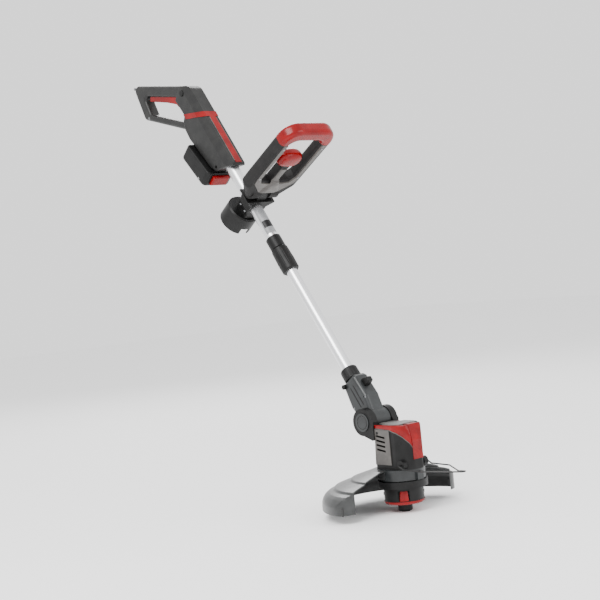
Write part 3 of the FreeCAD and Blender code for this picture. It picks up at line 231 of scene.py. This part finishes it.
def make_materials():
    """Every finish on the trimmer, each named for what it is."""
    kit = {}
    # glass-filled nylon, moulded against a spark-eroded tool: near black with a soft grey haze
    kit["black"] = moulded("glass_filled_nylon_black", "#060606", "#111111", 0.45, 0.9, 0.05)
    # soft-touch thermoplastic rubber on the grips: very matt, slightly warm
    kit["rubber"] = moulded("soft_touch_rubber", "#070606", "#151313", 0.6, 0.7, 0.08, sheen=0.3)
    # dark grey ABS of the rear housing shells, a step lighter than the black fittings
    kit["shell"] = moulded("dark_grey_abs_shell", "#151515", "#212120", 0.42, 0.9, 0.06, sheen=0.35)
    # charcoal ABS of the neck and pivot caps: blue-grey with a satin face
    kit["charcoal"] = moulded("charcoal_abs", "#191b1c", "#272a2b", 0.36, 0.9, 0.05, sheen=0.45)
    # smoke-grey polypropylene guard, moulded smooth, so it reflects more
    kit["guard"] = moulded(
        "smoke_grey_guard", "#232424", "#343535", 0.33, 1.4, 0.04, coat=0.1, sheen=0.4
    )
    # gloss red ABS: deep colour with a clear reflection
    kit["red"] = moulded(
        "gloss_red_abs", "#6c0205", "#880408", 0.26, 1.6, 0.01, coat=0.1, sheen=0.2
    )
    # warm grey ABS trim plates
    kit["grey"] = moulded("warm_grey_abs", "#474442", "#5a5754", 0.4, 0.9, 0.04, sheen=0.35)
    # vinyl tube label in plain light grey, and its printed dark patch
    kit["label"] = moulded("vinyl_label_grey", "#77787a", "#8d8e90", 0.35, 1.2, 0.01, sheen=0.4)
    kit["print"] = moulded("printed_patch_dark", "#161617", "#232325", 0.4, 1.2, 0.01)
    # extruded nylon cutting line
    kit["line"] = moulded("nylon_line", "#30302e", "#474744", 0.35, 0.6, 0.02)
    # PVC shrink wrap round the battery cells
    kit["wrap"] = moulded("pvc_cell_wrap", "#1c5a3a", "#247048", 0.35, 1.5, 0.02)
    # bright anodised aluminium tube, drawn along its length
    kit["tube"] = drawn_tube("anodised_tube", "#dcdde0", "#fbfbfc", 0.34)
    # plain bright steel of screws, pins, motor, eyelets and springs
    kit["steel"] = drawn_tube("bright_steel", "#6f7072", "#9c9da0", 0.28)
    # blackened spring steel of the wire guard and line cutter: dark, with a soft sheen
    kit["blackwire"] = moulded("blackened_steel", "#161616", "#262525", 0.35, 0.5, 0.03, coat=0.2)
    return kit


FINISH = {
    "black": [
        "lock_sleeve", "lock_collar", "swivel_collar", "switch",
        "battery_case_upper", "battery_case_lower", "lock_collet", "tube_bushing", "drive_hub",
        "spool_housing",
        "spool", "bump_knob", "terminal_block", "turn_button", "tilt_button", "lock_off_button",
        "clamp_upper", "clamp_lower", "spare_spool_holder", "head_housing_left",
        "head_housing_right",
    ],
    "rubber": ["handle_frame"],
    "shell": ["rear_housing_left", "rear_housing_right"],
    "charcoal": [
        "neck_left", "neck_right", "pivot_caps", "head_base",
    ],
    "guard": ["guard"],
    "red": [
        "housing_trim", "trigger", "battery_latch", "handle_cover", "handle_button", "head_cover",
        "spool_cap", "spool_tab_left", "spool_tab_right",
    ],
    "grey": ["handle_front_plate", "vent_panel_left", "vent_panel_right", "head_top_cap"],
    "tube": ["upper_tube", "lower_tube"],
    "steel": [
        "trigger_pin", "housing_screws", "clamp_bolts", "handle_hinge_pin", "handle_screws",
        "neck_screws",
        "pivot_pin", "motor", "head_screws", "motor_shaft", "line_eyelets", "bump_spring",
    ],
    "blackwire": ["wire_guard", "cutter_blade"],
    "line": ["cutting_line"],
    "wrap": ["battery_cells"],
}


def paint(kit):
    """Give every CAD node its finish."""
    for key, names in FINISH.items():
        for name in names:
            slots = nodes[name].data.materials
            slots.clear()
            slots.append(kit[key])


# ---------------------------------------------------------------- surfaces
def add_surface(name, grid, finish, body, smooth_angle=35.0):
    """Skin a grid of points (stations, ring, xyz) and close both ends with flat caps."""
    stations, ring = grid.shape[:2]
    points = grid.reshape(-1, 3)
    row = np.arange(stations - 1)[:, None] * ring
    column = np.arange(ring)[None, :]
    beside = (column + 1) % ring
    corners = [row + column, row + beside, row + ring + beside, row + ring + column]
    quads = np.stack(corners, axis=-1)
    faces = quads.reshape(-1, 4).tolist()
    faces.append(np.arange(ring)[::-1].tolist())
    faces.append((np.arange(ring) + (stations - 1) * ring).tolist())
    mesh = bpy.data.meshes.new(name)
    mesh.from_pydata((points * MM).tolist(), [], faces)
    mesh.validate()
    shape = bmesh.new()
    shape.from_mesh(mesh)
    bmesh.ops.remove_doubles(shape, verts=shape.verts, dist=0.005 * MM)
    bmesh.ops.recalc_face_normals(shape, faces=shape.faces)
    shape.to_mesh(mesh)
    shape.free()
    mesh.materials.append(finish)
    mesh.shade_smooth()
    mesh.set_sharp_from_angle(angle=math.radians(smooth_angle))
    thing = bpy.data.objects.new(name, mesh)
    bpy.context.scene.collection.objects.link(thing)
    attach(thing, body)
    return thing


def middle(node):
    """The centre of a CAD node's box, in millimetres."""
    low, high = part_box(node)
    return (np.array(low) + np.array(high)) / 2 / MM


def loop_origin():
    """Where the loop handle's own height is zero: below its hinge pin."""
    return middle("handle_hinge_pin") - HINGE_HEIGHT * UP_LOOP


def spaced(profile, step):
    """Points every few millimetres along a polyline, with its corners kept."""
    corners = np.array(profile, dtype=float)
    runs = np.linalg.norm(np.diff(corners, axis=0), axis=1)
    along = np.concatenate([[0], np.cumsum(runs)])
    marks = np.unique(np.concatenate([np.arange(0, along[-1], step), along]))
    return np.stack([np.interp(marks, along, corners[:, k]) for k in range(2)], axis=1)


def softened(line, turns):
    """Round a dense line by averaging each point with its neighbours, ends held."""
    for _ in range(turns):
        line[1:-1] = (line[:-2] + 2 * line[1:-1] + line[2:]) / 4
    return line


def make_guard(kit):
    """Half a turn of one stepped wall.

    Radius and height follow the profile. Towards each end the radius is held under a limit
    that falls off exponentially, which rounds the ends in plan.
    """
    wall, hub_radius, rim_radius, box_reach = 2.5, 47, 166, 163.3
    low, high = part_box("guard")
    reach = high[1] / MM
    top = high[2] / MM
    outer = spaced(
        [
            (hub_radius, top), (60, top), (64, top - 1.6), (86, top - 8), (103, top - 13.2),
            (105, top - 16.8),
            (122, top - 21.4), (138, top - 27), (140.5, top - 31), (151, top - 35), (158, top - 40),
            (163, top - 47), (165.4, top - 54), (rim_radius, top - 61), (rim_radius, low[2] / MM),
        ],
        2.0,
    )
    outer = softened(outer, 2)
    slope = np.gradient(outer, axis=0)
    slope /= np.linalg.norm(slope, axis=1)[:, None]
    inner = outer + wall * np.stack([slope[:, 1], -slope[:, 0]], axis=1)
    inner[-1, 1] = outer[-1, 1]
    hub_inner, hub_foot = hub_radius + wall, 70
    inner = inner[inner[:, 0] > hub_inner]
    hub = [(hub_inner, top - 3), (hub_inner, hub_foot), (hub_radius, hub_foot)]
    section = np.concatenate([outer, inner[::-1], hub])
    turn = np.radians(np.linspace(90, 270, 145))
    from_end = np.degrees(np.minimum(turn - turn[0], turn[-1] - turn))
    limit = rim_radius + 0.2 - 30 * np.exp(-from_end / 3.2)
    walls = np.concatenate([np.zeros(len(outer)), np.full(len(section) - len(outer), wall)])
    radius = np.minimum(section[None, :, 0], limit[:, None] - walls[None, :]) * reach / box_reach
    radius = np.minimum(radius, reach * rim_radius / box_reach)
    grid = np.stack(
        [
            radius * np.cos(turn)[:, None],
            radius * np.sin(turn)[:, None],
            np.broadcast_to(section[None, :, 1], radius.shape),
        ],
        axis=-1,
    )
    shell = add_surface(
        "guard_shell", grid, kit["guard"], "head", smooth_angle=24
    )
    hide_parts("guard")


def make_head_band(kit):
    """A red band round the head's top edge, with a pale line under it.

    Its plan follows the housing, its section is a low bulge, and its lower edge falls to the front.
    """
    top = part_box("head_top_cap")[0][2] / MM
    for side, name in SIDES:
        plan = softened(spaced([(-33, 31.3), (18, 32), (37.5, 24), (49.5, 12.5)], 2.0), 6)
        slope = np.gradient(plan, axis=0)
        slope /= np.linalg.norm(slope, axis=1)[:, None]
        out = np.stack([-slope[:, 1], slope[:, 0]], axis=1)
        along = np.linspace(0, 1, len(plan))
        foot = np.interp(
            along,
            [0, 0.45, 0.62, 0.8, 0.92, 1],
            [top - 6, top - 9, top - 14, top - 24, top - 34, top - 44],
        )
        height = np.array([0.0, 0.08, 0.5, 0.92, 1.0, 1.0, 0.5, 0.0])
        stand = np.array([0.4, 1.5, 1.9, 1.5, 0.4, -0.6, -0.6, -0.6])
        z = foot[:, None] + (top + 0.6 - foot)[:, None] * height[None, :]
        x = plan[:, :1] + out[:, :1] * stand[None, :]
        y = (plan[:, 1:] + out[:, 1:] * stand[None, :]) * side
        x = np.minimum(x, 51.4 - np.maximum(z - (top - 30), 0) * 0.3)
        grid = np.stack([x, y, z], axis=-1)
        add_surface("head_band_" + name, grid, kit["red"], "head")
        line_z = foot[:, None] + np.array([-1.6, -1.6, 0.2, 0.2])[None, :]
        line_stand = np.array([-0.4, 0.9, 0.9, -0.4])
        line_x = plan[:, :1] + out[:, :1] * line_stand[None, :]
        line_y = (plan[:, 1:] + out[:, 1:] * line_stand[None, :]) * side
        line_x = np.minimum(line_x, 51.0 - np.maximum(line_z - (top - 30), 0) * 0.3)
        grid = np.stack([line_x, line_y, line_z], axis=-1)
        add_surface("head_band_line_" + name, grid, kit["grey"], "head")


def make_spool_tabs(kit):
    """Release tabs: a curved pad on the spool cup's wall.

    Its outline is a trapezium with its upper corners drawn in, and it is crowned outwards by the
    root of a sine up the wall and one minus a sixth power across.
    """
    for name, angle in (("left", 135), ("right", -45)):
        node = "spool_tab_" + name
        low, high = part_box(node)
        bottom, top = low[2] / MM + 0.1, high[2] / MM - 0.1
        radius = float(np.hypot(*middle(node)[:2])) + 2.2
        level = np.linspace(bottom, top, 24)
        share = (level - bottom) / (top - bottom)
        half = 9.3 - 1.2 * share - 1.5 * np.clip(share - 0.88, 0, 1) / 0.12
        across = np.concatenate([np.linspace(-1, 1, 15), np.linspace(1, -1, 15)])
        front = np.concatenate([np.ones(15), np.zeros(15)])
        bulge = 1.8 * np.sin(np.pi * np.clip(share, 0.02, 0.98)) ** 0.4
        wall = radius - 2.6 + front[None, :] * (1.4 + bulge[:, None] * (1 - across[None, :] ** 6))
        turn = math.radians(angle) + (half[:, None] * across[None, :]) / radius
        height = level[:, None] + 0 * wall
        grid = np.stack([wall * np.cos(turn), wall * np.sin(turn), height], axis=-1)
        pad = add_surface("release_tab_" + name, grid, kit["red"], "tab_" + name)
        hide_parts(node)


def power(value, exponent):
    """A signed power, for the curve of a superellipse."""
    return np.sign(value) * np.abs(value) ** exponent


def make_loop_button(kit):
    """The loop's press button: a superellipsoid, rounder across than through."""
    half_width, half_height, thickness, centre_height = 31, 21.4, 14.4, 166.5
    origin = loop_origin()
    tilt = np.linspace(-np.pi / 2 + 0.02, np.pi / 2 - 0.02, 48)
    turn = np.linspace(0, 2 * np.pi, 96, endpoint=False)
    depth = 1.0 + thickness * power(np.sin(tilt), 0.8)
    width = power(np.cos(tilt), 0.55)
    across = half_width * width[:, None] * power(np.cos(turn), 0.8)[None, :]
    height = centre_height + half_height * width[:, None] * power(np.sin(turn), 0.85)[None, :]
    grid = (
        origin
        + across[..., None] * SIDE
        + height[..., None] * UP_LOOP
        + (depth[:, None] + 0 * across)[..., None] * OUT_LOOP
    )
    button = add_surface("loop_press_button", grid, kit["red"], "handle_button")
    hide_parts("handle_button")


def make_edge_lines(kit):
    """Pale beads along the coloured strip on the rear housing: a circle carried up the shaft."""
    strip_half, strip_height, bead = 8.7, 26.2, 0.9
    centre = middle("upper_tube")
    along = np.linspace(-101, -234, 30)
    ring = np.linspace(0, 2 * np.pi, 12, endpoint=False)
    for side, name in SIDES:
        grid = (
            centre
            + along[:, None, None] * DOWN_SHAFT
            + (strip_half * side + bead * np.cos(ring))[None, :, None] * SIDE
            + (strip_height + bead * np.sin(ring))[None, :, None] * OFF_SHAFT
        )
        add_surface("housing_edge_line_" + name, grid, kit["grey"], "rear")


def make_cap_rings(kit):
    """A raised ring on each pivot cap: a ring-shaped tube, written as a grid round two circles."""
    ring_radius, half_width, half_height = 13.5, 1.1, 0.7
    low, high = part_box("pivot_caps")
    centre = middle("pivot_caps")
    turn = np.linspace(0, 2 * np.pi, 73)
    ring = np.linspace(0, 2 * np.pi, 12, endpoint=False)
    reach = ring_radius + half_width * np.cos(ring)[None, :]
    for side, name in SIDES:
        edge = (high[1] if side > 0 else low[1]) / MM
        grid = np.stack(
            [
                centre[0] + reach * np.cos(turn)[:, None],
                edge + half_height * np.sin(ring)[None, :] + 0 * turn[:, None],
                centre[2] + reach * np.sin(turn)[:, None],
            ],
            axis=-1,
        )
        add_surface("pivot_cap_ring_" + name, grid, kit["shell"], "head")


def make_screw_recesses(kit):
    """Dark screw recesses on the head: a shallow dish, a cosine dip inside a raised rim."""
    share = np.linspace(0.02, 1, 12)
    turn = np.linspace(0, 2 * np.pi, 32, endpoint=False)
    rise = 0.45 * np.sin(np.pi * share ** 2) - 0.25 * np.cos(np.pi * share / 2)
    rim = 3.1 * share[:, None]
    for side, name in SIDES:
        for spot, place, face in (
            ("panel", (-26.5, 33.8 * side, 160.5), (0.0, 1.0 * side, 0.0)),
            ("cheek", (30.2, 27.8 * side, 141.0), (0.406, 0.914 * side, 0.0)),
        ):
            outward = np.array(face)
            level = np.cross(UPWARD, outward)
            grid = (
                np.array(place)
                + (rim * np.cos(turn)[None, :])[..., None] * level
                + (rim * np.sin(turn)[None, :])[..., None] * UPWARD
                + rise[:, None, None] * outward
            )
            full_name = "screw_recess_" + spot + "_" + name
            add_surface(full_name, grid, kit["black"], "head")


def make_neck_groove_shade(kit):
    """Low black strips on the neck's sides, painted shade for its grooves: a flat superellipse
    carried down the shaft.

    Its size swells from both ends by the root of one minus an eighth power.
    """
    neck_half, stand_out, shade_strip_half = 19.6, 0.6, 1.7
    centre = middle("upper_tube")
    along = np.linspace(499, 549, 40)
    share = (along - along[0]) / (along[-1] - along[0])
    swell = np.sqrt(np.clip(1 - (2 * share - 1) ** 8, 0.01, 1))
    ring = np.linspace(0, 2 * np.pi, 20, endpoint=False)
    for side, name in SIDES:
        for row, rise in (("front", 8.0), ("back", -2.0)):
            out = neck_half * side + stand_out * swell[:, None] * np.sin(ring)[None, :]
            up = rise + shade_strip_half * swell[:, None] * power(np.cos(ring), 0.6)[None, :]
            grid = (
                centre
                + along[:, None, None] * DOWN_SHAFT
                + out[..., None] * SIDE
                + up[..., None] * OFF_SHAFT
            )
            # black strips: painted shade where the neck's grooves lie
            add_surface("neck_groove_shade_" + row + "_" + name, grid, kit["black"], "neck")


def make_battery_light(kit):
    """A small round charge light on each side of the battery: a shallow dome."""
    low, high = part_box("battery_case_lower")
    radius, dome, sunk = 3.2, 1.3, 0.4
    centre = middle("battery_case_lower") + 30 * DOWN_SHAFT - 2 * OFF_SHAFT
    rings = np.linspace(0, np.pi / 2, 8)
    ring = np.linspace(0, 2 * np.pi, 24, endpoint=False)
    for side, name in SIDES:
        edge = high[1] / MM if side > 0 else low[1] / MM
        grid = (
            np.array([centre[0], edge - sunk * side, centre[2]])
            + (radius * np.cos(rings)[:, None] * np.cos(ring)[None, :])[..., None] * DOWN_SHAFT
            + (radius * np.cos(rings)[:, None] * np.sin(ring)[None, :])[..., None] * OFF_SHAFT
            + (dome * side * np.sin(rings)[:, None] + 0 * ring[None, :])[..., None] * SIDE
        )
        add_surface("charge_light_" + name, grid, kit["label"], "battery")


def make_stem_face(kit):
    """A crowned face on the loop's centre bar.

    Its half width narrows from the foot up, and its rise is one minus a fourth power across.
    """
    foot, head = 58, 138.5
    origin = loop_origin()
    up = np.linspace(foot, head, 80)
    half = np.interp(
        up, [foot, 62, 68, 76, 88, 97, 106, head], [19, 23, 25, 23, 15.5, 11.5, 8.6, 8.6]
    )
    base = np.interp(up, [foot, 62, 90, 97, 100, head], [15.0, 16.1, 16.1, 13.8, 10.8, 10.6])
    crown = np.interp(up, [foot, 64, 76, 95, 104, head], [0.6, 3.0, 4.2, 2.6, 1.9, 1.9])
    across = np.concatenate([np.linspace(-1, 1, 17), [1, -1]])
    dome = np.concatenate([1 - np.linspace(-1, 1, 17) ** 4, [0, 0]])
    skirt = np.concatenate([np.full(17, 0.2), [-0.8, -0.8]])
    rise = crown[:, None] * dome[None, :] + skirt[None, :]
    grid = (
        origin
        + up[:, None, None] * UP_LOOP
        + (half[:, None] * across[None, :])[..., None] * SIDE
        + (base[:, None] + rise)[..., None] * OUT_LOOP
    )
    add_surface("loop_stem_face", grid, kit["grey"], "handle")


def make_spring(kit):
    """A coil spring: a small circle carried round a helix."""
    low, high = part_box("bump_spring")
    inset, turns = 0.6, 4
    bottom, top = low[2] / MM + inset, high[2] / MM - inset
    coil = high[1] / MM - inset
    turn = np.linspace(0, 2 * np.pi * turns, 193)
    outward = np.stack([np.cos(turn), np.sin(turn), np.zeros_like(turn)], axis=1)
    height = np.linspace(bottom, top, len(turn))
    ring = np.linspace(0, 2 * np.pi, 10, endpoint=False)
    path = coil * outward + height[:, None] * UPWARD
    across, along = np.cos(ring)[None, :, None], np.sin(ring)[None, :, None]
    circle = across * outward[:, None, :] + along * UPWARD
    grid = path[:, None, :] + 0.55 * circle
    spring = add_surface("bump_coil_spring", grid, kit["steel"], "spool_drive")
    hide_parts("bump_spring")
    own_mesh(spring)


def make_labels(kit):
    """A vinyl label wrapped on the upper tube, with a plain dark patch: sectors of a cylinder."""
    centre = middle("upper_tube")
    for name, start, end, half_angle, radius, finish in (
        ("tube_label", 24, 96, 62, 14.25, "label"),
        ("tube_label_patch", 62, 80, 50, 14.4, "print"),
    ):
        along = np.linspace(start, end, 14)
        turn = np.radians(np.linspace(-half_angle, half_angle, 41) - 12)
        ring = np.concatenate([turn, turn[::-1]])
        reach = np.concatenate([np.full(41, radius), np.full(41, radius - 0.3)])
        grid = (
            centre
            + along[:, None, None] * DOWN_SHAFT
            + (reach * np.sin(ring))[None, :, None] * SIDE
            + (reach * np.cos(ring))[None, :, None] * OFF_SHAFT
        )
        add_surface(name, grid, kit[finish], "rear")


place_camera()
make_stage()
kit = make_materials()
paint(kit)
make_guard(kit)
make_head_band(kit)
make_stem_face(kit)
make_labels(kit)
make_spring(kit)
make_spool_tabs(kit)
make_battery_light(kit)
make_loop_button(kit)
make_edge_lines(kit)
make_cap_rings(kit)
make_screw_recesses(kit)
make_neck_groove_shade(kit)
